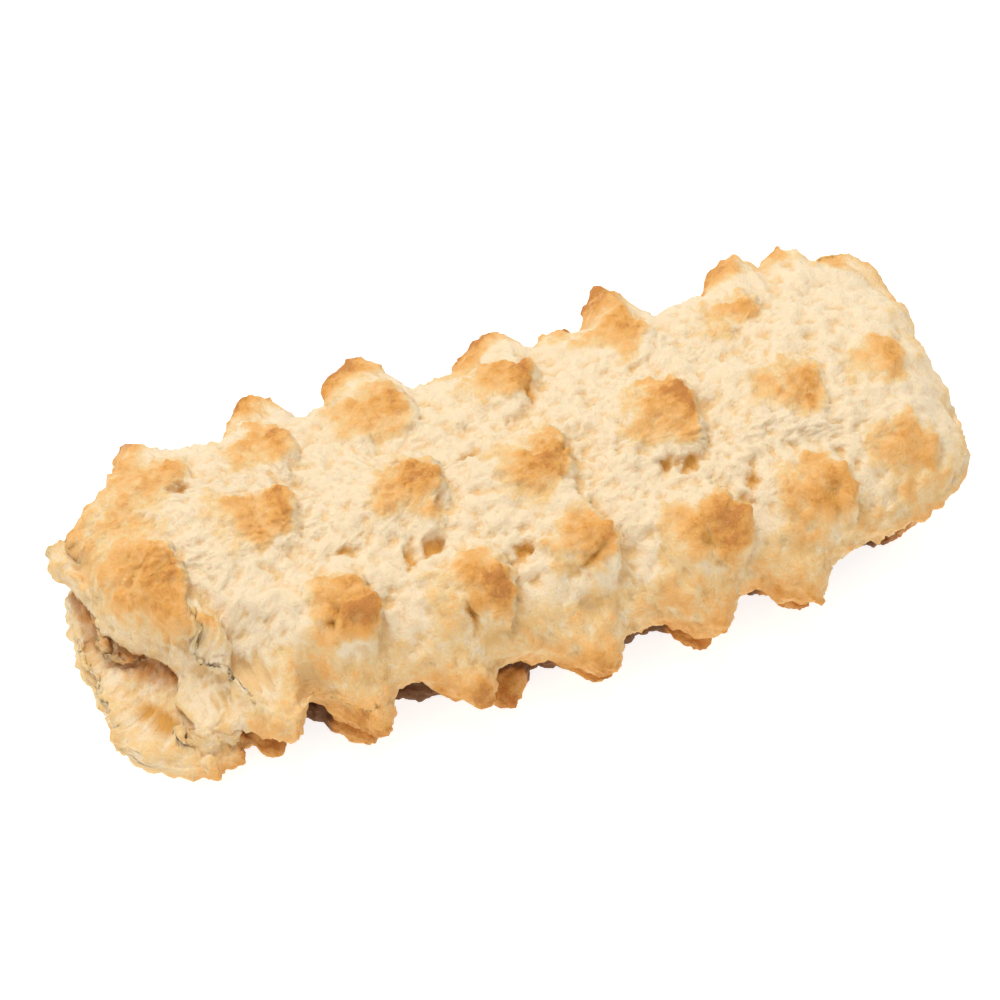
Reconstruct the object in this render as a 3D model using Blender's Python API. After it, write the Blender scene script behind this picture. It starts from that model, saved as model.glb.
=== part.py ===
"""Coconut cookie: a thick oblong biscuit of one piece, pressed out in pulses through a notched slot.

Its length lies along X, its width along Y, and it rests on the plane Z = 0. Ridges run along it, and
each ridge breaks into noses at every pulse, with a gentle back slope and a steep front towards +X.
The two long sides go down in one face to a scalloped lower edge, and shorter brown teeth peep out
below it. At the -X end the upper body stops at a slanting lip, which leaves the foot showing as a
stepped ledge. Lengths are in millimetres here, and the finished mesh is scaled to metres.
"""

import math
from collections import namedtuple

import bmesh
import bpy
import numpy as np
from mathutils import Vector, noise

MM = 0.001

# Driving dimensions
LENGTH = 88.3
WIDTH = 44.0
HEIGHT = 16.1

# Body without its teeth, as seen from above. Its middle line bows a little, and its upper part narrows
# towards the -X end. How square each corner is: first for -X, then for +X, and in each the near one
# first, for the foot and for the upper part
HALF_LENGTH = LENGTH / 2 - 0.1
HALF_WIDTH = WIDTH / 2 - 4.8
FOOT_SQUARENESS = np.array(((3.1, 3.2), (3.4, 4.0)))
BODY_SQUARENESS = np.array(((4.0, 2.7), (4.6, 7.0)))
TAPER = 0.16
BOW = 3.0
SKEW = 1.3

# Lines round the side, from the floor up to the widest one: height as a share of the whole, inset from
# the outline round the ends, the same along the two sides, how far the line follows the lip, how much
# further it goes in below the lip, and how far it follows the step in the foot
Level = namedtuple("Level", "height inset flank retreat under tier")
LEVELS = (
    Level(0.000, 4.6, 4.4, 0.0, 0.0, 0.0),
    Level(0.030, 3.4, 3.7, 0.0, 0.0, 0.0),
    Level(0.100, 2.7, 3.7, 0.0, 0.0, 0.0),
    Level(0.145, 2.9, 4.0, 0.0, 0.0, 0.4),
    Level(0.175, 3.0, 3.3, 0.0, 0.0, 1.0),
    Level(0.215, 3.1, 1.5, 0.0, 0.0, 1.0),
    Level(0.240, 3.7, 1.0, 0.4, 0.3, 1.0),
    Level(0.256, 4.6, 0.8, 1.0, 1.2, 1.0),
    Level(0.285, 4.4, 0.6, 1.0, 1.4, 1.0),
    Level(0.315, 2.5, 0.4, 1.0, 0.4, 1.0),
    Level(0.380, 0.8, 0.2, 1.0, 0.0, 1.0),
    Level(0.470, 0.0, 0.0, 1.0, 0.0, 1.0),
)
# Above the foot's line, the near side's -X corner is a mound that doesn't follow the lip
MOUND_TOP = 0.4
# Towards the +X end the body's insets shrink by this share, so that the crease is shallow there
END_FULLNESS = 0.6
# From the widest line up to the rim the dome gives the height, and these are the insets
SHOULDER = (0.5, 1.5, 2.7, 4.2)

# Dome of the top, over the height of the widest line
RIDGE_HEIGHT = LEVELS[-1].height * HEIGHT
DOME_HEIGHT = HEIGHT - 2.0
DOME_ACROSS = 2.1
DOME_ALONG = 12.0
DOME_ROUNDNESS = 0.6

# Slanting lip at the -X end: seen from above, the upper body stops where it passes this line. It bulges
# at one place, given by X and Y, its radius and how far it goes
LIP_DIRECTION = np.array((-0.855, -0.519))
LIP_DISTANCE = 32.2
LIP_BULGE = (-39.0, -4.0, 7.0, 3.2)
LIP_SLOPE = 11.0
LIP_DROP = 0.8
LIP_SOFTENED = 3.5

# Ledge of the foot in front of the lip, which slopes down towards the near side and ends at a step
LEDGE_SLOPE = 0.02
TIER_DIRECTION = np.array((-0.79, -0.613))
TIER_DISTANCE = 36.7

# Each ridge: its place across and up, the way its noses point, how far they reach, how far each runs
# behind, ahead of and beside its tip, how far it leans towards +X, how far its sides trail behind the
# tip, and for each nose its place along X, its share of the reach, and how far it lies to the left of
# the line, seen from its -X end with the noses' way up. A ridge shapes the body only down to some depth
Ridge = namedtuple("Ridge", "across up out lift reach back front half lean curl noses")
RIDGE_DEPTH = 6.0
RIDGES = (
    Ridge(17.0, 8.2, 1.0, 0.30, 4.8, 4.2, 3.8, 5.0, 0.0, 0.0,
          ((-32.3, 1.1, 0.0), (-20.2, 0.9, 0.0), (-8.9, 1.05, 0.0), (4.5, 0.85, 0.0), (11.5, 0.4, 0.0),
           (16.8, 1.0, 0.0), (30.2, 0.85, 0.0), (35.9, 0.8, 0.0), (40.8, 0.5, 0.0))),
    Ridge(9.25, 13.1, 0.35, 1.0, 2.2, 9.5, 1.8, 5.2, 0.25, 0.35,
          ((-29.8, 0.4, 0.0), (-20.0, 0.8, 0.3), (-8.2, 0.8, 1.8), (4.6, 0.9, 0.9), (16.8, 0.8, 3.0),
           (28.4, 0.3, 1.2))),
    Ridge(-2.66, 14.4, 0.0, 1.0, 2.3, 10.0, 1.7, 6.0, 0.25, 0.35,
          ((-33.9, 0.8, 0.0), (-22.2, 0.8, 3.2), (-8.4, 0.8, 2.0), (3.7, 0.9, 0.7), (17.2, 1.0, 2.0),
           (29.9, 0.4, 0.3), (39.0, 0.2, 0.9))),
    Ridge(-14.1, 12.5, -0.5, 1.0, 2.9, 9.5, 1.7, 5.3, 0.25, 0.35,
          ((-32.2, 0.9, 3.0), (-18.7, 1.0, 2.2), (-5.8, 0.9, 1.2), (4.5, 1.0, 2.8), (16.5, 1.0, 0.4),
           (27.7, 0.9, 0.4), (38.0, 0.2, 2.2))),
    Ridge(-18.0, 5.4, -1.0, 0.0, 4.3, 3.8, 2.9, 5.0, 0.1, 0.1,
          ((-32.5, 0.5, 0.0), (-27.6, 1.0, 0.0), (-19.85, 0.95, 0.0), (-10.3, 0.8, 0.0),
           (1.6, 1.0, 0.0), (13.4, 0.85, 0.0), (22.9, 1.0, 0.0))),
    Ridge(-17.2, 1.2, -1.0, 0.0, 5.0, 3.4, 3.0, 1.8, 0.0, 0.0,
          ((-32.8, 0.5, 0.0), (-27.8, 0.9, 0.0), (-19.9, 0.9, 0.0), (-6.4, 1.0, 0.0), (2.6, 0.95, 0.0),
           (13.1, 0.9, 0.0), (24.2, 0.9, 0.0), (33.5, 0.7, 0.0))),
    Ridge(17.2, 1.2, 1.0, 0.0, 4.4, 3.4, 3.0, 1.8, 0.0, 0.0,
          ((-32.2, 1.0, 0.0), (-17.9, 1.0, 0.0), (-7.2, 1.0, 0.0), (7.2, 1.0, 0.0), (18.2, 1.0, 0.0),
           (29.2, 1.0, 0.0))),
)
# Lumps that stand out from the side, and dents: where, how far they reach and how wide they are
Knob = namedtuple("Knob", "x y z reach radius")
KNOBS = (
    Knob(-42.3, 4.8, 1.8, 0.9, 4.0),
    Knob(-41.5, -3.5, 1.5, 1.6, 5.0),
    Knob(-38.6, -11.8, 1.5, 5.0, 4.8),
    Knob(-42.6, 8.0, 7.2, 1.2, 3.4),
    Knob(-31.5, -17.5, 2.0, 1.8, 3.6),
    Knob(-14.2, -17.0, 3.4, -1.4, 2.8),
    Knob(37.5, -13.0, 3.0, 2.4, 5.5),
    Knob(43.0, 8.5, 8.0, 0.9, 6.0),
)

# Unevenness of the dough: size, depth and pattern of how the noses wander, and of the lumps
WANDER = (5.0, 0.7, 1.0)
LUMPS = ((7.0, 0.6, 0.0), (3.0, 0.4, 1.0))
FLOOR_GAP = 0.25

# Grid of the mesh
CELLS_ALONG = 74
CELLS_ACROSS = 28
CELLS_UP = len(LEVELS) - 1 + len(SHOULDER)


def smooth_step(low, high, value):
    """Soft ramp from 0 at low to 1 at high. low may be the larger."""
    share = np.clip((value - low) / (high - low), 0.0, 1.0)
    return share * share * (3 - 2 * share)


def lengthwise(x, y):
    """How much of the long sides' shape points of the outline have, and of the mound's."""
    ends = smooth_step(-37.5, -32.5, x) * smooth_step(40.0, 32.0, x)
    return smooth_step(4.0, 10.0, np.abs(y)) * ends, smooth_step(-4.0, -10.0, y) * ends


def narrowing(x):
    """Share of its width that the upper body keeps at each place along the cookie."""
    return 1 - TAPER * np.minimum(0.0, x / HALF_LENGTH) ** 2


def outline(way, body):
    """Points of the outline in these directions from the centre, and its outward normals, from above.

    body is 0 for the foot's outline and 1 for the upper body's.
    """
    right, far = (way > 0).astype(int).T
    power = FOOT_SQUARENESS[right, far] * (1 - body) + BODY_SQUARENESS[right, far] * body
    half = np.array((HALF_LENGTH, HALF_WIDTH))
    along, across = (np.abs(way) / half).T
    point = way / ((along**power + across**power) ** (1 / power))[:, None]
    normal = np.copysign((np.abs(point) / half) ** (power - 1)[:, None] / half, point)
    normal /= np.linalg.norm(normal, axis=1)[:, None]
    point[:, 1] *= 1 - (1 - narrowing(point[:, 0])) * body
    return point, normal


def lip_excess(point):
    """How far each point, seen from above, is past the slanting lip. It is negative behind the lip."""
    x, y, radius, reach = LIP_BULGE
    away = np.hypot(point[:, 0] - x, point[:, 1] - y) / radius
    return point[:, :2] @ LIP_DIRECTION - LIP_DISTANCE - reach * np.exp(-(away**2))


def dome(point):
    """Height of the smooth top above each point, seen from above."""
    along = np.abs(point[:, 0]) / HALF_LENGTH
    across = np.abs(point[:, 1]) / (HALF_WIDTH * narrowing(point[:, 0]))
    near_lip = np.maximum(0.0, 1 + np.minimum(0.0, lip_excess(point)) / LIP_SLOPE)
    fall = across**DOME_ACROSS + along**DOME_ALONG + LIP_DROP * near_lip**3
    return RIDGE_HEIGHT + (DOME_HEIGHT - RIDGE_HEIGHT) * np.maximum(0.0, 1 - fall) ** DOME_ROUNDNESS


def side_points(way, step):
    """Points of the side in these directions from the centre, this many lines above the floor."""
    level = Level(*np.array(LEVELS)[np.minimum(step, len(LEVELS) - 1)].T)
    above = step >= len(LEVELS)
    sided, mound = lengthwise(*outline(way, np.ones(len(way)))[0].T)
    retreat = level.retreat * (1 - mound * smooth_step(MOUND_TOP + 0.15, MOUND_TOP, level.height))
    edge, normal = outline(way, np.maximum(retreat, sided * smooth_step(0.12, 0.17, level.height)))
    fullness = END_FULLNESS * retreat * np.maximum(0.0, edge[:, 0] / HALF_LENGTH) ** 4
    inset = level.inset * (1 - fullness) * (1 - sided) + level.flank * sided
    inset[above] = np.array(SHOULDER)[step[above] - len(LEVELS)]
    point = edge - normal * inset[:, None]
    stepped = np.maximum(0.0, point @ TIER_DIRECTION - TIER_DISTANCE) * level.tier * (1 - mound)
    point = point - TIER_DIRECTION * stepped[:, None]
    past = np.maximum(0.0, lip_excess(point) + np.where(above, inset, 0.0))
    height = level.height * HEIGHT * (1 + LEDGE_SLOPE * np.minimum(0.0, point[:, 1]) * past / LIP_SLOPE)
    moved = past * retreat + level.under * smooth_step(0.0, 2.0, past) * (1 - mound)
    point = point - LIP_DIRECTION * moved[:, None]
    return np.column_stack((point, np.where(above, dome(point), height)))


def body_points(cube):
    """Where points on the surface of a two-unit cube go on the smooth body."""
    spread = np.abs(cube[:, :2]).max(axis=1)
    way = cube[:, :2] * np.array((HALF_LENGTH, HALF_WIDTH))
    way[spread == 0.0] = (1.0, 0.0)
    place = side_points(way, np.rint((cube[:, 2] + 1) / 2 * CELLS_UP).astype(int))
    inner = (np.abs(cube[:, 2]) > 0.9999) & (spread < 0.9999)
    place[inner, :2] *= spread[inner, None]
    place[inner, 2] = np.where(cube[inner, 2] > 0, dome(place[inner]), 0.0)
    return place


def nose_share(ridge, away, aside):
    """How much of a nose's reach shows at these distances past its tip and to its side."""
    aside = np.abs(aside) / ridge.half
    past = away + ridge.curl * ridge.half * np.minimum(aside, 1.5) ** 2
    steep = ridge.front < ridge.back / 2
    ahead = (np.abs(past) / ridge.front) ** (2.2 if steep else 1.6)
    behind = (np.abs(past) / ridge.back) ** (1.3 if steep else 1.6)
    rise = np.clip(1 - np.where(past > 0, ahead, behind), 0.0, 1.0)
    return rise * np.clip(1 - aside**2, 0.0, 1.0) ** 1.4


def relief(point):
    """How far the noses carry each point of the smooth body."""
    move = np.zeros_like(point)
    for ridge in RIDGES:
        way = np.array((ridge.out, ridge.lift)) / math.hypot(ridge.out, ridge.lift)
        off = point[:, 1:] - np.array((ridge.across, ridge.up))
        aside = off[:, 0] * way[1] - off[:, 1] * way[0]
        share = np.zeros(len(point))
        for tip, strong, left in ridge.noses:
            share = np.maximum(share, strong * nose_share(ridge, point[:, 0] - tip, aside - left))
        share *= smooth_step(-RIDGE_DEPTH - 0.5, -RIDGE_DEPTH + 0.5, off @ way)
        lean = np.array((ridge.lean, way[0], way[1]))
        move += lean / np.linalg.norm(lean) * ridge.reach * share[:, None]
    return move


def knobs(point, normal):
    """How far the lumps and dents carry each point of the smooth body."""
    share = np.zeros(len(point))
    for knob in KNOBS:
        away = np.linalg.norm(point - np.array((knob.x, knob.y, knob.z)), axis=1) / knob.radius
        share += knob.reach * np.exp(-(away**4))
    return np.column_stack((normal[:, :2] * share[:, None], np.zeros(len(point))))


def lumpiness(point, size, pattern):
    """Smooth noise at each point, with lumps of this size. It is the same in every run."""
    shift = Vector((7.0, 3.0, 5.0)) * pattern
    return np.array([noise.noise(Vector(place) / size + shift) for place in point])


def wandering(point):
    """How far the noses' places wander at each point."""
    size, depth, pattern = WANDER
    return np.column_stack([lumpiness(point, size, pattern + 17.37 * (axis + 1)) for axis in range(3)]) * depth


def unevenness(point):
    """How far the dough swells or sinks at each point, along its surface normal."""
    return sum(lumpiness(point, size, pattern) * depth for size, depth, pattern in LUMPS)


def bowed(point):
    """The points moved sideways, so that the cookie's middle line bows."""
    along = point[:, 0] / HALF_LENGTH
    side = BOW * (along**2 - 0.4) + SKEW * along
    return point + np.outer(side, (0.0, 1.0, 0.0))


def place_verts(bm, point):
    """Move the mesh's vertices to these points."""
    for vert, place in zip(bm.verts, point):
        vert.co = place
    bm.normal_update()


def fit(bm):
    """Scale the mesh to its driving dimensions, centred over the origin and standing on the floor."""
    point = np.array([vert.co for vert in bm.verts])
    low, high = point.min(axis=0), point.max(axis=0)
    middle = (low + high) / 2 * np.array((1.0, 1.0, 0.0))
    place_verts(bm, (point - middle) * np.array((LENGTH, WIDTH, HEIGHT)) / (high - low) * MM)


def shaped_cookie():
    """The cookie's mesh: a cube cut into a grid, rounded into the body and drawn out into noses."""
    bm = bmesh.new()
    bmesh.ops.create_cube(bm, size=2.0)
    for axis, cells in enumerate((CELLS_ALONG, CELLS_ACROSS, CELLS_UP)):
        rails = [e for e in bm.edges if abs(e.verts[0].co[axis] - e.verts[1].co[axis]) > 1.0]
        bmesh.ops.subdivide_edges(bm, edges=rails, cuts=cells - 1, use_grid_fill=True)
    cube = np.array([vert.co for vert in bm.verts])
    based = cube[:, 2] < -0.9999
    smooth = body_points(cube)
    place_verts(bm, smooth)
    normal = np.array([vert.normal for vert in bm.verts])
    wandered = smooth + wandering(smooth)
    carried = smooth + relief(wandered) + knobs(wandered, normal) + normal * unevenness(smooth)[:, None]
    carried[:, 2] = np.maximum(carried[:, 2], FLOOR_GAP)
    carried[based] = smooth[based]
    place_verts(bm, carried)
    softened = (lip_excess(carried) > -LIP_SOFTENED) & (carried[:, 2] > FLOOR_GAP) & ~based
    near_lip = [vert for vert, soft in zip(bm.verts, softened) if soft]
    bmesh.ops.smooth_vert(
        bm, verts=near_lip, factor=0.5, use_axis_x=True, use_axis_y=True, use_axis_z=True
    )
    place_verts(bm, bowed(np.array([vert.co for vert in bm.verts])))
    fit(bm)
    mesh = bpy.data.meshes.new("cookie")
    bm.to_mesh(mesh)
    bm.free()
    return mesh


def crust():
    """Pale baked dough."""
    material = bpy.data.materials.new("crust")
    material.use_nodes = True
    shader = material.node_tree.nodes["Principled BSDF"]
    shader.inputs["Base Color"].default_value = (0.80, 0.56, 0.29, 1.0)
    shader.inputs["Roughness"].default_value = 0.75
    shader.inputs["Metallic"].default_value = 0.0
    return material


def main():
    for obj in list(bpy.data.objects):
        bpy.data.objects.remove(obj)
    mesh = shaped_cookie()
    mesh.materials.append(crust())
    mesh.shade_smooth()
    cookie = bpy.data.objects.new("cookie", mesh)
    bpy.context.scene.collection.objects.link(cookie)


if __name__ == "__main__":
    main()
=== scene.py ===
"""Coconut cookie, dressed for its picture: pressed dough with crisp noses, a torn lip, pits and browning.

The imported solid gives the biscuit's size and the place of every nose. This script models the same
biscuit with a fine skin, in millimetres and in the solid's own frame: its length lies along X, the noses
point towards +X, and it rests on Z = 0.
"""

import logging
import math
from dataclasses import dataclass
from enum import Enum
from typing import Any

import bmesh
import bpy
import numpy as np
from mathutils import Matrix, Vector, noise

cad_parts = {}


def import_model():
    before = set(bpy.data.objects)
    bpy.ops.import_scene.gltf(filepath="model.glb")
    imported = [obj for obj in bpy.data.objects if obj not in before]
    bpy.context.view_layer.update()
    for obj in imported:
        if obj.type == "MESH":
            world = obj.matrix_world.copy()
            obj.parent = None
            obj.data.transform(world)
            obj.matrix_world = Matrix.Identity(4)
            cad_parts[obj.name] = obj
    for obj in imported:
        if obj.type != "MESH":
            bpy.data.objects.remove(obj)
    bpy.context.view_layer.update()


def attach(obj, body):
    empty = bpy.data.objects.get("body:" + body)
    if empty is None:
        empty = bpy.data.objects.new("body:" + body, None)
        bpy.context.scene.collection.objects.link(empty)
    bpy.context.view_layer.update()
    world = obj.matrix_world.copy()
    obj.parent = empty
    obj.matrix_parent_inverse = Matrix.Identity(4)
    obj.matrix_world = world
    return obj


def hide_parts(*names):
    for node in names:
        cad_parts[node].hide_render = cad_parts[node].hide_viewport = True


LOG = logging.getLogger("coconut_cookie")
MM = 0.001
# Past this, a point of the two-unit cube that the biscuit starts from lies in its top or its base.
CUBE_FACE = 0.9999


class Axis(Enum):
    """Ways along the starting cube."""

    ALONG = 0
    ACROSS = 1
    UP = 2


@dataclass(frozen=True)
class Level:
    """A line round the side of the biscuit.

    height is a share of the biscuit's height. inset is in millimetres from its widest line at the two
    ends, and flank is the same along the two sides. retreat is how far the line follows the lip at the
    -X end, under is how much further it goes in below the lip, tier is how far it follows the step in the
    foot, and rows is how many cells lead up to it.
    """

    height: float
    inset: float
    flank: float
    retreat: float
    under: float
    tier: float
    rows: int


@dataclass(frozen=True)
class Ridge:
    """A ridge along the biscuit that breaks into noses, about one for each pulse of the press.

    across and up are the ridge's place in millimetres, and out and lift the way that its noses point.
    reach is how far they stand out, and back, front and half are how far each runs behind, ahead of and
    beside its tip. lean is how far they point towards +X, and curl how far their sides trail behind the
    tip. tips are their places along X, left how far each lies to the left of the line seen from the -X
    end, strong each one's share of the reach, and baked how brown each is.
    """

    across: float
    up: float
    out: float
    lift: float
    reach: float
    back: float
    front: float
    half: float
    lean: float
    curl: float
    tips: tuple[float, ...]
    left: tuple[float, ...]
    strong: tuple[float, ...]
    baked: tuple[float, ...]


@dataclass(frozen=True)
class Knob:
    """A lump that stands out from the side: its place, how far it reaches and how wide it is."""

    x: float
    y: float
    z: float
    reach: float
    radius: float


@dataclass(frozen=True)
class Tear:
    """A pit or crack in the dough.

    Its middle in millimetres, its half length and half width, the way that it runs in degrees from +X
    towards +Y, and its depth.
    """

    x: float
    y: float
    z: float
    long: float
    wide: float
    turn: float
    depth: float


def smooth_step(low: float, high: float, value: np.ndarray) -> np.ndarray:
    """Soft ramp between two limits.

    Args:
        low: where the ramp is 0. It may be the larger of the two.
        high: where the ramp is 1.
        value: the values to look up.

    Returns:
        A number from 0 to 1 for each value.
    """
    share = np.clip((value - low) / (high - low), 0.0, 1.0)
    return share * share * (3 - 2 * share)


def noise_at(points: np.ndarray, size: float, seed: float) -> np.ndarray:
    """Smooth noise for each point, about -1 to 1.

    Args:
        points: places in millimetres.
        size: size of a lump in millimetres.
        seed: which of the possible patterns.

    Returns:
        One number for each point.
    """
    shift = Vector((7.0 * seed, 3.0 * seed, 5.0 * seed))
    return np.array([noise.noise(Vector(point) / size + shift) for point in points.tolist()])


def drift_at(points: np.ndarray, size: float, seed: float) -> np.ndarray:
    """Smooth noise with three parts for each point, about -1 to 1 in each.

    Args:
        points: places in millimetres.
        size: size of a lump in millimetres.
        seed: which of the possible patterns.

    Returns:
        One vector for each point.
    """
    return np.column_stack([noise_at(points, size, seed + 17.37 * (axis + 1)) for axis in range(3)])


@dataclass
class Biscuit:
    """The biscuit's shape, in millimetres, before its box is centred on the origin.

    taper is the share of its width that the upper body loses at the -X end, bow and skew carry the middle
    line sideways, and end_fullness is the share of their inset that the levels lose at the +X end. The
    two squarenesses are the powers of the outline's curve, for the left and the right half, and in each
    for the near and the far side. The dome's values say how its height falls off across, along and
    towards the lip. lip_direction and tier_direction point out over the ledge, and a lip and a tier run
    square to them at their distances from the middle. lip_bulge is where the lip bulges: its place, its
    radius and how far.
    """

    half_length: float = 44.05
    half_width: float = 17.2
    height: float = 16.1
    taper: float = 0.16
    bow: float = 3.0
    skew: float = 1.3
    end_fullness: float = 0.6

    foot_squareness: tuple[tuple[float, float], ...] = ((3.1, 3.2), (3.4, 4.0))
    body_squareness: tuple[tuple[float, float], ...] = ((4.0, 2.7), (4.6, 7.0))

    levels: tuple[Level, ...] = (
        Level(0.000, 4.6, 4.4, 0.0, 0.0, 0.0, 0),
        Level(0.015, 3.8, 3.9, 0.0, 0.0, 0.0, 2),
        Level(0.050, 3.0, 3.6, 0.0, 0.0, 0.0, 3),
        Level(0.100, 2.7, 3.7, 0.0, 0.0, 0.0, 4),
        Level(0.135, 2.8, 4.0, 0.0, 0.0, 0.1, 3),
        Level(0.155, 3.1, 4.0, 0.0, 0.0, 1.0, 5),
        Level(0.180, 2.9, 4.0, 0.0, 0.0, 1.1, 4),
        Level(0.215, 3.1, 3.9, 0.0, 0.0, 1.0, 4),
        Level(0.243, 3.8, 3.7, 0.5, 0.6, 1.0, 5),
        Level(0.256, 4.6, 3.2, 1.0, 1.9, 1.0, 5),
        Level(0.275, 4.8, 2.0, 1.0, 2.3, 1.0, 4),
        Level(0.295, 4.1, 1.2, 1.0, 1.8, 1.0, 4),
        Level(0.315, 2.5, 0.9, 1.0, 0.4, 1.0, 4),
        Level(0.380, 0.8, 0.4, 1.0, 0.0, 1.0, 5),
        Level(0.470, 0.0, 0.0, 1.0, 0.0, 1.0, 5),
    )
    shoulder_inset: float = 4.2
    shoulder_rows: int = 13

    dome_height: float = 14.1
    dome_across: float = 2.1
    dome_along: float = 12.0
    dome_roundness: float = 0.6

    lip_direction: tuple[float, float] = (-0.855, -0.519)
    lip_distance: float = 32.2
    lip_bulge: tuple[float, float, float, float] = (-39.0, -4.0, 7.0, 3.2)
    lip_slope: float = 11.0
    lip_drop: float = 0.8
    ledge_slope: float = 0.02
    tier_direction: tuple[float, float] = (-0.79, -0.613)
    tier_distance: float = 36.7

    ridge_depth: float = 6.0
    ridges: tuple[Ridge, ...] = (
        Ridge(17.0, 8.2, 1.0, 0.30, 4.8, 4.2, 3.8, 5.0, 0.0, 0.0,
              (-32.3, -20.2, -8.9, 4.5, 11.5, 16.8, 30.2, 35.9, 40.8), (0.0,) * 9,
              (1.1, 0.9, 1.05, 0.85, 0.4, 1.0, 0.85, 0.8, 0.5),
              (0.66, 0.68, 0.7, 0.7, 0.45, 0.7, 0.6, 0.55, 0.4)),
        Ridge(9.25, 13.1, 0.35, 1.0, 2.2, 9.5, 1.8, 5.2, 0.25, 0.35,
              (-29.8, -20.0, -8.2, 4.6, 16.8, 28.4), (0.0, 0.3, 1.8, 0.9, 3.0, 1.2),
              (0.4, 0.8, 0.8, 0.9, 0.8, 0.3), (0.5, 0.68, 0.68, 0.76, 0.66, 0.56)),
        Ridge(-2.66, 14.4, 0.0, 1.0, 2.3, 10.0, 1.7, 6.0, 0.25, 0.35,
              (-33.9, -22.2, -8.4, 3.7, 17.2, 29.9, 39.0), (0.0, 3.2, 2.0, 0.7, 2.0, 0.3, 0.9),
              (0.8, 0.8, 0.8, 0.9, 1.0, 0.4, 0.2), (0.6, 0.74, 0.8, 0.74, 0.82, 0.6, 0.55)),
        Ridge(-14.1, 12.5, -0.5, 1.0, 2.9, 9.5, 1.7, 5.3, 0.25, 0.35,
              (-32.2, -18.7, -5.8, 4.5, 16.5, 27.7, 38.0), (3.0, 2.2, 1.2, 2.8, 0.4, 0.4, 2.2),
              (0.9, 1.0, 0.9, 1.0, 1.0, 0.9, 0.2), (0.5, 0.76, 0.76, 0.7, 0.76, 0.7, 0.55)),
        Ridge(-18.0, 4.9, -1.0, 0.0, 4.5, 3.8, 2.9, 5.0, 0.1, 0.1,
              (-32.5, -27.6, -19.85, -10.3, 1.6, 13.4, 22.9), (0.0,) * 7,
              (0.5, 1.0, 0.95, 0.8, 1.0, 0.85, 1.0), (0.3, 0.3, 0.55, 0.5, 0.55, 0.5, 0.5)),
        Ridge(-17.2, 1.2, -1.0, 0.0, 4.2, 3.4, 3.0, 1.8, 0.0, 0.0,
              (-32.8, -27.8, -19.9, -6.4, 2.6, 13.1, 24.2, 33.5), (0.0,) * 8,
              (0.5, 0.8, 0.8, 1.0, 0.9, 0.8, 0.8, 0.2), (0.5, 0.5, 0.5, 0.65, 0.55, 0.55, 0.55, 0.55)),
        Ridge(17.2, 1.2, 1.0, 0.0, 4.6, 3.4, 3.0, 1.8, 0.0, 0.0,
              (-32.2, -17.9, -7.2, 7.2, 18.2, 29.2), (0.0,) * 6,
              (1.0, 1.0, 1.0, 1.0, 1.0, 1.0), (0.6, 0.7, 0.7, 0.7, 0.7, 0.7)),
    )
    knobs: tuple[Knob, ...] = (
        Knob(-42.3, 4.8, 1.8, 0.9, 4.0),
        Knob(-41.5, -3.5, 1.5, 1.6, 5.0),
        Knob(-38.6, -11.8, 1.5, 5.0, 4.8),
        Knob(-42.6, 8.0, 7.2, 1.0, 3.4),
        Knob(-31.5, -17.5, 2.0, 1.8, 3.6),
        Knob(-14.2, -17.0, 3.4, -1.4, 2.8),
        Knob(37.5, -13.0, 3.0, 2.4, 5.5),
        Knob(43.0, 8.5, 8.0, 0.9, 6.0),
    )
    mound_middle: float = -34.5
    mound_half: float = 5.0
    mound_inset: float = 1.3
    floor_gap: float = 0.12
    box_centre: tuple[float, float] = (1.26, -0.23)
    box_scale: float = 1.004

    def narrowing(self, x: np.ndarray) -> np.ndarray:
        """Share of its width that the upper body keeps at each place along the biscuit."""
        return 1 - self.taper * np.minimum(0.0, x / self.half_length) ** 2

    def outline(self, way: np.ndarray, body: np.ndarray) -> tuple[np.ndarray, np.ndarray]:
        """Outline of the biscuit without its teeth, seen from above.

        Args:
            way: directions from the centre, one row each.
            body: 0 for the foot's outline and 1 for the upper body's, for each direction.

        Returns:
            The points of the outline, and its outward normals.
        """
        right = (way[:, 0] > 0).astype(int)
        far = (way[:, 1] > 0).astype(int)
        foot = np.array(self.foot_squareness)[right, far]
        power = foot * (1 - body) + np.array(self.body_squareness)[right, far] * body
        half = np.array((self.half_length, self.half_width))
        along, across = (np.abs(way) / half).T
        point = way / ((along**power + across**power) ** (1 / power))[:, None]
        slope = (np.abs(point) / half) ** (power - 1)[:, None] / half
        normal = np.copysign(slope, point)
        normal /= np.linalg.norm(normal, axis=1)[:, None]
        point[:, 1] *= 1 - (1 - self.narrowing(point[:, 0])) * body
        return point, normal

    def lip_excess(self, point: np.ndarray) -> np.ndarray:
        """How far each point, seen from above, is past the lip. It is negative behind the lip."""
        x, y, radius, reach = self.lip_bulge
        away = np.hypot(point[:, 0] - x, point[:, 1] - y) / radius
        return point[:, :2] @ np.array(self.lip_direction) - self.lip_distance - reach * np.exp(-(away**2))

    def tier_excess(self, point: np.ndarray) -> np.ndarray:
        """How far each point, seen from above, is past the step in the foot."""
        return point[:, :2] @ np.array(self.tier_direction) - self.tier_distance

    def dome(self, point: np.ndarray) -> np.ndarray:
        """Height of the smooth top above each point."""
        ridge = self.levels[-1].height * self.height
        along = np.abs(point[:, 0]) / self.half_length
        across = np.abs(point[:, 1]) / (self.half_width * self.narrowing(point[:, 0]))
        near_lip = np.maximum(0.0, 1 + np.minimum(0.0, self.lip_excess(point)) / self.lip_slope)
        fall = across**self.dome_across + along**self.dome_along + self.lip_drop * near_lip**3
        return ridge + (self.dome_height - ridge) * np.maximum(0.0, 1 - fall) ** self.dome_roundness

    def rows(self) -> int:
        """Number of cells up the side, from the floor to the rim of the top."""
        return sum(level.rows for level in self.levels) + self.shoulder_rows

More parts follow.
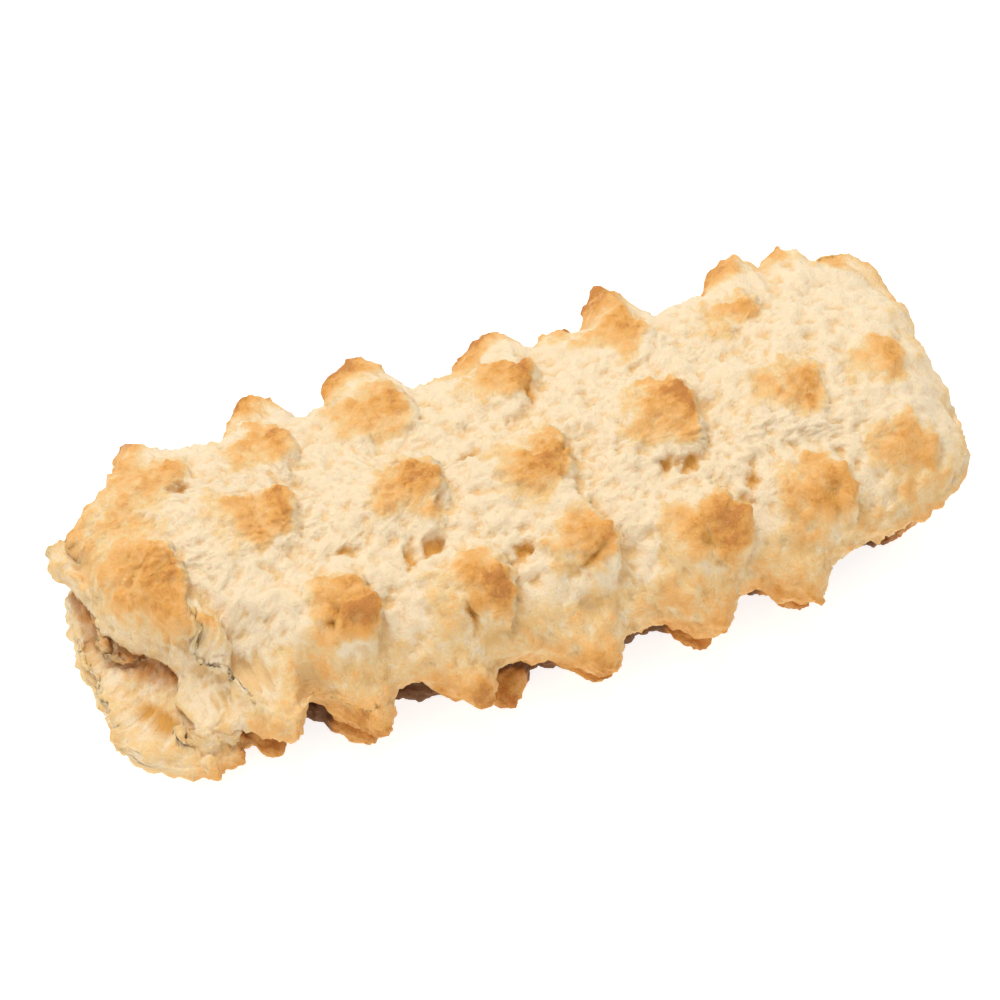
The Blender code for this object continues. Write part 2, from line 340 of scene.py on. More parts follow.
    def side_points(self, way: np.ndarray, step: np.ndarray) -> np.ndarray:
        """Points of the side.

        Args:
            way: directions from the centre, seen from above.
            step: how many cells above the floor each point is.

        Returns:
            The points, one row each.
        """
        at = np.cumsum([level.rows for level in self.levels])
        low = np.minimum(step, at[-1])
        on_shoulder = step > at[-1]

        def profile(name: str) -> np.ndarray:
            """One of the levels' values at every point."""
            return np.interp(low, at, [getattr(level, name) for level in self.levels])

        share_up = profile("height")
        sided, mound = self.sidedness(self.outline(way, np.ones(len(way)))[0])
        retreat = profile("retreat") * (1 - mound * smooth_step(0.42, 0.33, share_up))
        body = np.maximum(np.minimum(1.0, retreat), sided * smooth_step(0.12, 0.17, share_up))
        edge, normal = self.outline(way, body)
        fullness = self.end_fullness * retreat * np.maximum(0.0, edge[:, 0] / self.half_length) ** 4
        inset = profile("inset") * (1 - fullness) * (1 - sided) + profile("flank") * sided
        filled = np.exp(-(((edge[:, 0] - self.mound_middle) / self.mound_half) ** 4))
        filled *= smooth_step(-6.0, -10.0, edge[:, 1])
        inset += (np.minimum(inset, self.mound_inset) - inset) * filled * smooth_step(0.03, 0.1, share_up)
        above = np.maximum(0, step - at[-1]) / self.shoulder_rows
        inset = np.where(on_shoulder, self.shoulder_inset * above**1.5, inset)
        point = edge - normal * inset[:, None]
        stepped = np.maximum(0.0, self.tier_excess(point)) * profile("tier") * (1 - mound)
        point = point - np.array(self.tier_direction) * stepped[:, None]
        back = np.where(on_shoulder, inset * (1 - mound), 0.0)
        past = np.maximum(0.0, self.lip_excess(point) + back)
        moved = past * retreat + profile("under") * smooth_step(0.0, 2.0, past) * (1 - mound)
        slope = 1 + self.ledge_slope * np.minimum(0.0, point[:, 1]) * past / self.lip_slope
        point = point - np.array(self.lip_direction) * moved[:, None]
        height = share_up * self.height * slope
        return np.column_stack((point, np.where(on_shoulder, self.dome(point), height)))

    def sidedness(self, edge: np.ndarray) -> tuple[np.ndarray, np.ndarray]:
        """Which parts of the outline are the two long sides, and which the mound.

        Args:
            edge: points of the outline.

        Returns:
            1 along the sides and 0 round the ends, and 1 for the mound at the near side's -X corner and
            for the rest of the near side.
        """
        x, y = edge.T
        before_end = smooth_step(40.0, 32.0, x)
        sided = smooth_step(4.0, 10.0, np.abs(y)) * smooth_step(-37.5, -32.5, x) * before_end
        mound = smooth_step(-40.5, -36.0, x) * smooth_step(-4.0, -9.0, y) * before_end
        return sided, mound

    def body_points(self, cube: np.ndarray) -> np.ndarray:
        """Where the points on the surface of a two-unit cube go on the smooth body.

        Args:
            cube: the points of the cube.

        Returns:
            Their places on the body.
        """
        spread = np.abs(cube[:, :2]).max(axis=1)
        way = cube[:, :2] * np.array((self.half_length, self.half_width))
        way[spread == 0.0] = (1.0, 0.0)
        place = self.side_points(way, np.round((cube[:, 2] + 1) / 2 * self.rows()))
        inner = (np.abs(cube[:, 2]) > CUBE_FACE) & (spread < 1.0)
        place[inner, :2] *= spread[inner, None]
        place[inner, 2] = np.where(cube[inner, 2] > 0, self.dome(place[inner]), 0.0)
        return place

    def nose_share(self, ridge: Ridge, away: np.ndarray, aside: np.ndarray) -> np.ndarray:
        """How much of a nose's reach shows.

        Args:
            ridge: the nose's ridge.
            away: distance past its tip along the ridge.
            aside: distance to its side.

        Returns:
            A share from 0 to 1 for each point.
        """
        aside = np.abs(aside) / ridge.half
        past = away + ridge.curl * ridge.half * np.minimum(aside, 1.5) ** 2
        ahead = (np.abs(past) / ridge.front) ** (2.2 if ridge.front < ridge.back / 2 else 1.6)
        behind = (np.abs(past) / ridge.back) ** (1.3 if ridge.front < ridge.back / 2 else 1.6)
        rise = np.clip(1 - np.where(past > 0, ahead, behind), 0.0, 1.0)
        return rise * np.clip(1 - aside**2, 0.0, 1.0) ** 1.4

    def ridge_frame(self, ridge: Ridge, point: np.ndarray) -> tuple[np.ndarray, np.ndarray]:
        """Where points lie round a ridge.

        Args:
            ridge: the ridge.
            point: the points.

        Returns:
            How far each lies to the left of the ridge's middle line, and how far out along the noses' way.
        """
        way = np.array((ridge.out, ridge.lift)) / math.hypot(ridge.out, ridge.lift)
        off = point[:, 1:] - np.array((ridge.across, ridge.up))
        return off[:, 0] * way[1] - off[:, 1] * way[0], off @ way

    def relief(self, point: np.ndarray) -> np.ndarray:
        """How far the noses carry each point of the smooth body."""
        move = np.zeros_like(point)
        for ridge in self.ridges:
            aside, out = self.ridge_frame(ridge, point)
            share = np.zeros(len(point))
            for tip, left, strong in zip(ridge.tips, ridge.left, ridge.strong):
                share = np.maximum(share, strong * self.nose_share(ridge, point[:, 0] - tip, aside - left))
            share *= smooth_step(-self.ridge_depth - 0.5, -self.ridge_depth + 0.5, out)
            way = np.array((ridge.out, ridge.lift)) / math.hypot(ridge.out, ridge.lift)
            lean = np.array((ridge.lean, way[0], way[1]))
            move += lean / np.linalg.norm(lean) * ridge.reach * share[:, None]
        return move

    def knob_relief(self, point: np.ndarray, normal: np.ndarray) -> np.ndarray:
        """How far the lumps carry each point of the smooth body."""
        share = np.zeros(len(point))
        for knob in self.knobs:
            away = np.linalg.norm(point - np.array((knob.x, knob.y, knob.z)), axis=1) / knob.radius
            share += knob.reach * np.exp(-(away**4))
        return np.column_stack((normal[:, :2] * share[:, None], np.zeros(len(point))))

    def bowed(self, point: np.ndarray) -> np.ndarray:
        """The points moved sideways, so that the biscuit's middle line bows."""
        along = point[:, 0] / self.half_length
        moved = point.copy()
        moved[:, 1] += self.bow * (along**2 - 0.4) + self.skew * along
        return moved

    def centred(self, point: np.ndarray) -> np.ndarray:
        """The points in the solid's frame, with the middle of its box over the origin."""
        centre = np.array((self.box_centre[0], self.box_centre[1], 0.0))
        return (point - centre) * self.box_scale


@dataclass(frozen=True)
class BakedDough:
    """Finish of the biscuit: its colours, and the sizes of its grain in millimetres."""

    cream: tuple[float, float, float] = (0.87, 0.71, 0.485)
    pale: tuple[float, float, float] = (0.83, 0.59, 0.29)
    peach: tuple[float, float, float] = (0.83, 0.47, 0.17)
    brown: tuple[float, float, float] = (0.75, 0.37, 0.088)
    # The darkest crust, and also painted shade in the sides' undercut and in the lip's crease.
    dark_crust_and_shade: tuple[float, float, float] = (0.56, 0.23, 0.05)
    # Painted deep shade in the sides' undercut and in the lip's crease.
    deep_shade: tuple[float, float, float] = (0.20, 0.09, 0.035)
    # Painted ochre shade in the hollows, also laid on in random blotches.
    hollow_shade: tuple[float, float, float] = (0.80, 0.51, 0.20)
    # Painted ochre shade in the pits and cracks.
    pit_shade: tuple[float, float, float] = (0.66, 0.33, 0.07)
    coconut: tuple[float, float, float] = (0.90, 0.80, 0.62)
    roughness: float = 0.62
    roughness_spread: float = 0.25
    patch_size: float = 3.0
    mottle_size: float = 0.9
    grain_size: float = 0.28
    fleck_size: float = 0.45
    bump_depth: float = 0.25
    glow: float = 0.25
    glow_radius: tuple[float, float, float] = (1.0, 0.55, 0.25)
    glow_depth: float = 1.2
    shine: float = 0.3

    def crust(self) -> list[tuple[float, tuple[float, float, float]]]:
        """Stops of the crust's colours, from unbaked to darkest."""
        return [
            (0.0, self.cream), (0.2, self.cream), (0.36, self.pale), (0.54, self.peach),
            (0.78, self.brown), (1.0, self.dark_crust_and_shade),
        ]


class Value:
    """One output of a shader node, on which Python's operators add Math nodes."""

    def __init__(self, recipe: "Recipe", socket: bpy.types.NodeSocket) -> None:
        """Keep the socket and the recipe that its nodes go into."""
        self.recipe = recipe
        self.socket = socket

    def math(self, operation: str, *values: "Value | float") -> "Value":
        """Add a Math node.

        Args:
            operation: its operation.
            values: its inputs.

        Returns:
            Its output.
        """
        return self.recipe.node("ShaderNodeMath", {"operation": operation}, dict(enumerate(values)))

    def __add__(self, other: "Value | float") -> "Value":
        """Sum of the two."""
        return self.math("ADD", self, other)

    def __radd__(self, other: float) -> "Value":
        """Sum of the two."""
        return self.math("ADD", other, self)

    def __sub__(self, other: "Value | float") -> "Value":
        """Difference of the two."""
        return self.math("SUBTRACT", self, other)

    def __rsub__(self, other: float) -> "Value":
        """Difference of the two."""
        return self.math("SUBTRACT", other, self)

    def __mul__(self, other: "Value | float") -> "Value":
        """Product of the two."""
        return self.math("MULTIPLY", self, other)

    def __rmul__(self, other: float) -> "Value":
        """Product of the two."""
        return self.math("MULTIPLY", other, self)

    def clamped(self) -> "Value":
        """The value kept between 0 and 1."""
        return self.math("MINIMUM", self.math("MAXIMUM", self, 0.0), 1.0)


class Recipe:
    """A material and the nodes that feed its shader."""

    def __init__(self, name: str) -> None:
        """Make the material with its one shader.

        Args:
            name: the material's name.
        """
        self.material = bpy.data.materials.new(name)
        self.material.use_nodes = True
        self.tree = self.material.node_tree
        self.shader = self.tree.nodes["Principled BSDF"]

    def node(
        self,
        kind: str,
        settings: dict[str, Any] | None = None,
        values: dict[int | str, Any] | None = None,
        output: int | str = 0,
    ) -> Value:
        """Add a node.

        Args:
            kind: its type.
            settings: its own settings, which are made first. stops are those of a ramp.
            values: the values or links of its sockets.
            output: which output is wanted.

        Returns:
            That output.
        """
        made = self.tree.nodes.new(kind)
        for name, setting in (settings or {}).items():
            if name == "stops":
                self.set_stops(made.color_ramp, setting)
            else:
                setattr(made, name, setting)
        for name, value in (values or {}).items():
            self.feed(made.inputs[name], value)
        return Value(self, made.outputs[output])

    def set_stops(self, ramp: bpy.types.ColorRamp, stops: list[tuple[float, tuple[float, ...]]]) -> None:
        """Give a ramp its stops.

        Args:
            ramp: the ramp.
            stops: the place and the colour of each.
        """
        while len(ramp.elements) < len(stops):
            ramp.elements.new(1.0)
        for element, (place, colour) in zip(ramp.elements, stops):
            element.position = place
            element.color = (*colour, 1.0)

    def feed(self, socket: bpy.types.NodeSocket, value: Any) -> None:
        """Link a value to a socket, or set the socket's own value."""
        if isinstance(value, Value):
            self.tree.links.new(value.socket, socket)
        elif isinstance(value, tuple) and len(value) == 3 and socket.type == "RGBA":
            socket.default_value = (*value, 1.0)
        else:
            socket.default_value = value

    def blend(self, share: Value, first: Any, second: Any) -> Value:
        """Mix of two colours.

        Args:
            share: how much of the second there is.
            first: the first colour.
            second: the second colour.

        Returns:
            The mixed colour.
        """
        settings = {"data_type": "RGBA", "clamp_factor": True}
        return self.node("ShaderNodeMix", settings, {0: share, 6: first, 7: second}, 2)

    def finish(self, values: dict[str, Any]) -> bpy.types.Material:
        """Feed the shader's sockets.

        Args:
            values: the sockets' names and what goes into them.

        Returns:
            The finished material.
        """
        for name, value in values.items():
            self.feed(self.shader.inputs[name], value)
        return self.material


@dataclass
class Cookie:
    """The biscuit as it is modelled: its fine mesh, its crags and its browning.

    Each entry of warp, lumps, small_lumps, tear_drift and ragged is the size of a noise's lumps in
    millimetres, how far it moves things, and its seed. crumb gives each layer's name, size and depth.
    base_rings are the sizes of the base's rings, as shares of the whole.
    """

    shape: Biscuit
    finish: BakedDough
    cells_along: tuple[int, int] = (55, 5)
    cells_across: tuple[int, int] = (63, 2)
    base_rings: tuple[float, ...] = (0.97, 0.9, 0.72, 0.48, 0.24)
    base_browning: float = 0.62
    warp: tuple[tuple[float, float, float], ...] = ((5.0, 0.7, 1.0), (1.7, 0.16, 2.0))
    lumps: tuple[tuple[float, float, float], ...] = ((7.0, 0.6, 0.0), (3.0, 0.5, 1.0))
    small_lumps: tuple[float, float, float] = (1.5, 0.5, 3.0)
    crumb: tuple[tuple[str, float, float], ...] = (("crumb", 1.0, 0.8), ("fine crumb", 0.5, 0.4))
    corner_reach: float = 4.0
    corner_floor: float = 3.5
    corner_passes: int = 16
    tear_drift: tuple[float, float, float] = (1.1, 0.7, 31.0)
    tear_reach_up: float = 2.5
    layer_pitch: float = 2.1
    shortest_edge: float = 0.12
    hollow_passes: int = 14
    hollow_limit: float = 0.6
    ragged: tuple[tuple[float, float, float], ...] = ((3.5, 2.0, 41.0), (1.6, 0.8, 43.0))
    # Shares of the painted shade in the far side's undercut and in the lip's crease.
    far_undercut_shade: float = 0.3
    crease_shade: float = 0.55
    tears: tuple[Tear, ...] = (
        Tear(-30.2, 5.7, 14.9, 1.2, 0.7, 20, 0.9),
        Tear(-18.0, -6.5, 14.0, 1.0, 0.7, 10, 0.9),
        Tear(-12.5, -9.0, 14.0, 1.6, 0.5, 60, 0.9),
        Tear(-10.3, -8.4, 14.5, 1.6, 0.6, 30, 1.3),
        Tear(-2.6, -11.4, 13.3, 1.4, 0.5, 40, 1.0),
        Tear(4.7, 6.3, 15.2, 1.8, 0.7, 60, 1.2),
        Tear(-8.0, -4.6, 16.3, 1.2, 0.5, 70, 0.8),
        Tear(13.7, -6.3, 14.9, 1.0, 0.6, 20, 1.1),
        Tear(15.5, -6.8, 15.0, 1.2, 0.6, 20, 1.3),
        Tear(20.4, -9.9, 13.3, 1.2, 0.5, 60, 1.0),
        Tear(19.2, -11.8, 14.0, 0.9, 0.5, 70, 0.9),
        Tear(-3.7, 0.8, 14.6, 1.0, 0.5, 30, 0.7),
        Tear(4.8, -2.1, 16.3, 0.5, 0.5, 0, 0.9),
        Tear(-21.8, -13.8, 13.7, 0.8, 0.5, 30, 1.3),
        Tear(-9.2, -16.4, 12.2, 1.3, 0.5, 80, 1.2),
        Tear(-34.6, -3.0, 14.4, 1.8, 0.5, 60, 0.8),
        Tear(-37.1, -1.9, 13.1, 1.2, 0.6, 30, 1.0),
        Tear(-38.4, -10.1, 3.2, 1.2, 0.7, -50, 1.2),
        Tear(-37.3, -11.8, 3.0, 1.2, 0.8, -50, 1.3),
        Tear(-5.6, -17.2, 4.0, 1.0, 1.2, 0, 1.2),
        Tear(26.9, -15.1, 13.2, 0.5, 1.8, 0, 1.0),
        Tear(2.6, -14.9, 13.5, 2.2, 0.5, 10, 1.0),
        Tear(14.1, -15.8, 12.9, 0.5, 1.3, 0, 0.9),
    )

    def build(self) -> bpy.types.Object:
        """Model the biscuit and dress it.

        Returns:
            The finished piece.
        """
        piece = self.gridded_block()
        mesh = piece.data
        cube = self.read(mesh)
        based = cube[:, 2] < -CUBE_FACE
        self.write(mesh, self.shape.body_points(cube))
        smooth = self.relaxed(piece, based)
        warped = smooth + sum(drift_at(smooth, size, seed) * depth for size, depth, seed in self.warp)
        carried = smooth + self.shape.relief(warped) + self.shape.knob_relief(warped, self.normals(mesh))
        carried[based] = smooth[based]
        self.write(mesh, carried)
        normal = self.normals(mesh)
        crags = sum(noise_at(smooth, size, seed) * depth for size, depth, seed in self.lumps)
        size, depth, seed = self.small_lumps
        crags += noise_at(carried, size, seed) * depth + self.ledge_crags(carried)
        pits = self.tear_depth(self.shape.bowed(carried))
        rough = carried + normal * (crags + pits)[:, None]
        rough[based] = smooth[based]
        self.write(mesh, rough)
        self.roughen(piece, based)
        self.store(mesh, "browning", np.where(based, self.base_browning, self.browning(warped, carried)))
        # The depth of each hollow, by which the finish paints ochre shade into it; crests come out
        # negative.
        self.store(mesh, "hollow_shade", np.where(based, 0.0, self.hollows(mesh)))
        # The depth of each pit, by which the finish paints ochre shade into it.
        self.store(mesh, "pit_shade", np.where(based, 0.0, -pits))
        # Where the finish paints dark shade into the sides' undercut and the lip's crease.
        self.store(mesh, "undercut_shade", np.where(based, 0.0, self.painted_undercut_shade(carried)))
        self.write(mesh, self.shape.centred(self.shape.bowed(self.read(mesh))) * MM)
        bpy.ops.object.shade_smooth()
        mesh.materials.append(self.material())
        piece.name = "baked_cookie"
        LOG.info("%s: %d faces", piece.name, len(mesh.polygons))
        return piece

    def relaxed(self, piece: bpy.types.Object, based: np.ndarray) -> np.ndarray:
        """Even out the cells where the lip runs into the near side, with a Smooth modifier.

        Args:
            piece: the smooth body.
            based: which of its vertices are in its base.

        Returns:
            Its points after smoothing.
        """
        point = self.read(piece.data)
        share = np.exp(-((self.shape.lip_excess(point) / self.corner_reach) ** 2))
        share *= smooth_step(-3.0, -8.0, point[:, 1]) * (~based & (point[:, 2] > self.corner_floor))
        group = "lip corner"
        corner = piece.vertex_groups.new(name=group)
        for step in range(1, 5):
            corner.add(np.nonzero(np.rint(share * 4) == step)[0].tolist(), step / 4, "REPLACE")
        bpy.ops.object.modifier_add(type="SMOOTH")
        modifier = piece.modifiers[-1]
        modifier.vertex_group = group
        modifier.factor = 0.5
        modifier.iterations = self.corner_passes
        bpy.ops.object.modifier_apply(modifier=modifier.name)
        return self.read(piece.data)

    def gridded_block(self) -> bpy.types.Object:
        """Cut a cube into the grid that becomes the biscuit's skin, with rings of faces as its base.

        Returns:
            The cut cube.
        """
        bpy.ops.object.select_all(action="DESELECT")
        bpy.ops.mesh.primitive_cube_add(size=2.0)
        piece = bpy.context.object
        self.cut(piece, Axis.UP, self.shape.rows(), 1.0)
        for axis, (first, second) in ((Axis.ALONG, self.cells_along), (Axis.ACROSS, self.cells_across)):
            self.cut(piece, axis, first, 1.0)
            self.cut(piece, axis, second, 1.0 / first)
        bpy.ops.object.mode_set(mode="EDIT")
        bpy.ops.mesh.select_mode(type="FACE")
        bm = bmesh.from_edit_mesh(piece.data)
        for face in bm.faces:
            face.select_set(face.calc_center_median().z < -CUBE_FACE)
        bmesh.update_edit_mesh(piece.data)
        bpy.ops.mesh.dissolve_faces()
        whole = 1.0
        for share in self.base_rings:
            bpy.ops.mesh.extrude_region()
            bpy.ops.transform.resize(value=(share / whole, share / whole, 1.0))
            whole = share
        bpy.ops.mesh.merge(type="CENTER")
        bpy.ops.object.mode_set(mode="OBJECT")
        return piece

    def cut(self, piece: bpy.types.Object, axis: Axis, cells: int, longer: float) -> None:
        """Divide the edges that run one way.

        Args:
            piece: the cube.
            axis: the way that they run.
            cells: how many parts each is cut into.
            longer: only edges longer than this are cut.
        """
        bpy.ops.object.mode_set(mode="EDIT")
        bpy.ops.mesh.select_mode(type="EDGE")
        bpy.ops.mesh.select_all(action="DESELECT")
        bm = bmesh.from_edit_mesh(piece.data)
        for edge in bm.edges:
            edge.select_set(abs(edge.verts[0].co[axis.value] - edge.verts[1].co[axis.value]) > longer)
        bmesh.update_edit_mesh(piece.data)
        bpy.ops.mesh.subdivide(number_cuts=cells - 1)
        bpy.ops.object.mode_set(mode="OBJECT")

    def read(self, mesh: bpy.types.Mesh) -> np.ndarray:
        """Places of the mesh's vertices, one row each."""
        values = np.empty(len(mesh.vertices) * 3, np.float32)
        mesh.vertices.foreach_get("co", values)
        return values.reshape(-1, 3).astype(float)

    def write(self, mesh: bpy.types.Mesh, points: np.ndarray) -> None:
        """Move the mesh's vertices to these places."""
        mesh.vertices.foreach_set("co", points.astype(np.float32).ravel())
        mesh.update()

    def normals(self, mesh: bpy.types.Mesh) -> np.ndarray:
        """Outward normals of the mesh's vertices, one row each."""
        values = np.empty(len(mesh.vertices) * 3, np.float32)
        mesh.vertex_normals.foreach_get("vector", values)
        return values.reshape(-1, 3).astype(float)

    def store(self, mesh: bpy.types.Mesh, name: str, values: np.ndarray) -> None:
        """Keep a number for each vertex, for the finish to read."""
        attribute = mesh.attributes.new(name, "FLOAT", "POINT")
        attribute.data.foreach_set("value", values.astype(np.float32))

    def tear_depth(self, point: np.ndarray) -> np.ndarray:
        """How far the pits and cracks move each point along its normal."""
        size, ragged, seed = self.tear_drift
        point = point + drift_at(point, size, seed) * ragged
        depth = np.zeros(len(point))
        for tear in self.tears:
            turn = math.radians(tear.turn)
            off = point - np.array((tear.x, tear.y, tear.z))
            along = (off[:, 0] * math.cos(turn) + off[:, 1] * math.sin(turn)) / tear.long
            aside = (off[:, 1] * math.cos(turn) - off[:, 0] * math.sin(turn)) / tear.wide
            away = along**2 + aside**2 + (off[:, 2] / self.tear_reach_up) ** 2
            depth = np.minimum(depth, -tear.depth * np.exp(-away))
        return depth

    def ledge_crags(self, point: np.ndarray) -> np.ndarray:
        """How far the ledge's torn dough, and the layers of the near side's +X end, stand out."""
        x, y, z = point.T
        on_ledge = smooth_step(-0.5, 2.0, self.shape.lip_excess(point)) * smooth_step(0.3, 1.5, z)
        on_ledge *= smooth_step(5.2, 4.0, z)
        torn = noise_at(point, 2.4, 21.0) * 0.9 + np.abs(noise_at(point, 1.3, 22.0)) * 0.7 - 0.2
        near_end = smooth_step(20, 32, x) * smooth_step(-7, -12, y) * smooth_step(11.0, 8.5, z)
        layers = np.sin(2 * math.pi * z / self.layer_pitch + 2.0 * noise_at(point, 4.0, 23.0)) * 0.3
        layers += np.abs(noise_at(point, 1.6, 24.0)) * 0.6 - 0.1
        return on_ledge * torn + near_end * layers

    def hollows(self, mesh: bpy.types.Mesh) -> np.ndarray:
        """How deep each vertex lies below its surroundings.

        Args:
            mesh: the biscuit, in millimetres.

        Returns:
            A depth in millimetres for each vertex, less than 0 where it stands out.
        """
        edges = np.empty(len(mesh.edges) * 2, np.int32)
        mesh.edges.foreach_get("vertices", edges)
        first, second = edges.reshape(-1, 2).T
        point = self.read(mesh)
        long = np.linalg.norm(point[first] - point[second], axis=1)
        weight = 1 / np.maximum(long, self.shortest_edge)
        total = np.bincount(first, weight, len(point)) + np.bincount(second, weight, len(point))
        around = point.copy()
        for _ in range(self.hollow_passes):
            spread = np.zeros_like(around)
            for axis in range(3):
                spread[:, axis] = np.bincount(first, weight * around[second, axis], len(point))
                spread[:, axis] += np.bincount(second, weight * around[first, axis], len(point))
            around = spread / total[:, None]
        depth = np.einsum("ij,ij->i", around - point, self.normals(mesh))
        return np.clip(depth, -self.hollow_limit, self.hollow_limit)

    def roughen(self, piece: bpy.types.Object, based: np.ndarray) -> None:
        """Give the dough its crumb with Displace modifiers, and keep its base flat.

        Args:
            piece: the biscuit, in millimetres.
            based: which vertices are in its base.
        """
        group = "above the base"
        above = piece.vertex_groups.new(name=group)
        smoother = np.rint(3 * smooth_step(28, 40, self.read(piece.data)[:, 0]))
        for step in range(4):
            above.add(np.nonzero(~based & (smoother == step))[0].tolist(), 1 - 0.18 * step, "REPLACE")
        for name, size, depth in self.crumb:
            texture = bpy.data.textures.new(name, "CLOUDS")
            texture.noise_scale = size
            bpy.ops.object.modifier_add(type="DISPLACE")
            modifier = piece.modifiers[-1]
            modifier.texture = texture
            modifier.texture_coords = "LOCAL"
            modifier.vertex_group = group
            modifier.strength = depth
            bpy.ops.object.modifier_apply(modifier=modifier.name)
        point = self.read(piece.data)
        point[~based, 2] = np.maximum(point[~based, 2], self.shape.floor_gap)
        self.write(piece.data, point)

    def browning(self, warped: np.ndarray, point: np.ndarray) -> np.ndarray:
        """How brown the crust is at each point.

        Args:
            warped: the points that the noses were laid out on.
            point: where the points are now.

        Returns:
            A number from 0 for cream to 1 for the darkest brown.
        """
        ragged = sum(drift_at(point, size, seed) * far for size, far, seed in self.ragged)
        nose = self.nose_browning(warped, ragged)
        x, y, z = point.T
        left_end, right_end = smooth_step(-28, -37, x), smooth_step(37, 44, x)
        upper_body, below_top = smooth_step(6.5, 9.0, z), smooth_step(12.5, 9.5, z)
        near_side, far_side = smooth_step(-10, -14, y), smooth_step(15.5, 18.5, y)
        lip = smooth_step(-4.0, -0.5, self.shape.lip_excess(point))
        ground = np.maximum.reduce((
            (0.26 + 0.16 * upper_body) * left_end + 0.28 * right_end,
            0.22 * smooth_step(5.0, 3.0, z) * smooth_step(-40, -28, x)
            + 0.37 * below_top * near_side * smooth_step(-40, -24, x),
            0.35 * far_side * smooth_step(40, 20, x),
            0.22 * lip * smooth_step(12.5, 9.0, z) * smooth_step(3, 5, z),
            0.42 * smooth_step(24, 36, x) * smooth_step(-13.0, -16.5, y),
        ))
        return np.clip(nose + ground * (1 - nose), 0.0, 1.0)

    def nose_browning(self, warped: np.ndarray, ragged: np.ndarray) -> np.ndarray:
        """How brown the noses are at each point.

        Args:
            warped: the points that the noses were laid out on.
            ragged: how far each point's place on its brown patch is moved, so that its edge is uneven.

        Returns:
            A number from 0 up for each point.
        """
        nose = np.zeros(len(warped))
        for ridge in self.shape.ridges:
            aside, out = self.shape.ridge_frame(ridge, warped)
            wide = min(ridge.half, max(3.6, ridge.half * 0.8))
            shown = smooth_step(-self.shape.ridge_depth, -self.shape.ridge_depth + 2, out)
            for tip, left, baked in zip(ridge.tips, ridge.left, ridge.baked):
                beside = np.abs(aside - left + ragged[:, 1])
                trail = ridge.curl * ridge.half * np.minimum(beside / ridge.half, 1.5) ** 2
                past = warped[:, 0] - tip + trail
                along = smooth_step(-9.0, -1.8, past + ragged[:, 0]) * smooth_step(2.0, -0.4, past)
                near = np.clip(1 - (beside / wide) ** 2, 0.0, 1.0) ** 1.2
                rim = 1.0 + 0.25 * smooth_step(-2.8, -0.4, past)
                nose = np.maximum(nose, rim * baked * along * near * shown)
        return nose

    def painted_undercut_shade(self, point: np.ndarray) -> np.ndarray:
        """How much painted shade darkens the dough in the sides' undercut and in the lip's crease, from 0
        to 1.
        """
        y, z = point[:, 1:].T
        # Painted shade in the undercut along the sides, fainter on the far side.
        sunk = smooth_step(15.4, 14.2, np.abs(y)) * smooth_step(10.0, 12.0, np.abs(y))
        side = sunk * smooth_step(4.9, 4.2, z) * self.shape.sidedness(point[:, :2])[0]
        side *= np.where(y > 0, self.far_undercut_shade, 1.0)
        # Painted shade in the crease under the lip.
        crease = np.exp(-(((self.shape.lip_excess(point) + 0.4) / 1.7) ** 2))
        crease *= smooth_step(3.0, 3.6, z) * smooth_step(5.4, 4.6, z)
        return np.maximum(side, self.crease_shade * crease)

    def material(self) -> bpy.types.Material:
        """Baked dough: cream, browned where it stands proud, with ochre blotches, painted ochre shade in
        its hollows and pits, painted dark shade in the sides' undercut and the lip's crease, and flecks of
        coconut.

        Returns:
            The material.
        """
        finish = self.finish
        recipe = Recipe("baked dough")
        place = recipe.node("ShaderNodeTexCoord", output="Object")

        def grain(size: float, detail: float, seed: float) -> Value:
            """Noise with lumps of this size in millimetres, from about -0.5 to 0.5."""
            values = {"Vector": place, "Scale": 1 / (size * MM), "Detail": detail, "W": seed}
            values["Roughness"] = 0.6
            return recipe.node("ShaderNodeTexNoise", {"noise_dimensions": "4D"}, values) - 0.5

        def stored(name: str) -> Value:
            """The number that the mesh keeps under this name."""
            return recipe.node("ShaderNodeAttribute", {"attribute_name": name}, output="Fac")

        patches = grain(finish.patch_size, 3.0, 0.0)
        mottle = grain(finish.mottle_size, 4.0, 3.0)
        fine = grain(finish.grain_size, 3.0, 7.0)
        flecks = grain(finish.fleck_size, 2.0, 11.0)
        browning, hollow_shade, undercut_shade = stored("browning"), stored("hollow_shade"), stored("undercut_shade")
        uneven = patches * 1.3 + mottle * 0.9 + fine * 0.4
        baked = (browning + uneven * (browning + 0.2) - hollow_shade * 0.3).clamped()
        colour = recipe.node("ShaderNodeValToRGB", {"stops": finish.crust()}, {0: baked})
        # Painted shade: ochre in the hollows and pits, dark brown in the undercut and the lip's crease;
        # the mottle adds random ochre and dark blotches; then coconut flecks.
        for share, tint in (
            ((hollow_shade * 3.5 + mottle * 1.6 + patches * 0.8 - 0.1).clamped() * 0.75, finish.hollow_shade),
            ((stored("pit_shade") * 1.6 + mottle * 0.6 - 0.3).clamped(), finish.pit_shade),
            ((undercut_shade * 1.8 + mottle * 1.2 - 0.15).clamped(), finish.dark_crust_and_shade),
            ((undercut_shade * 2.6 + mottle * 1.2 - 1.5).clamped(), finish.deep_shade),
            ((flecks * 6.0 - 1.0).clamped() * 0.5, finish.coconut),
        ):
            colour = recipe.blend(share, colour, tint)
        bump = {"Height": fine + mottle * 0.6, "Strength": 0.8, "Distance": finish.bump_depth * MM}
        return recipe.finish({
            "Base Color": colour,
            "Roughness": finish.roughness + mottle * finish.roughness_spread,
            "Normal": recipe.node("ShaderNodeBump", None, bump),
            "Subsurface Weight": finish.glow,
            "Subsurface Radius": finish.glow_radius,
            "Subsurface Scale": finish.glow_depth * MM,
            "Specular IOR Level": finish.shine,
        })


@dataclass(frozen=True)
class Softbox:
    """A round soft light: where it hangs and how wide it is in metres, and its power in watts."""

    name: str
    place: tuple[float, float, float]
    size: float
    power: float


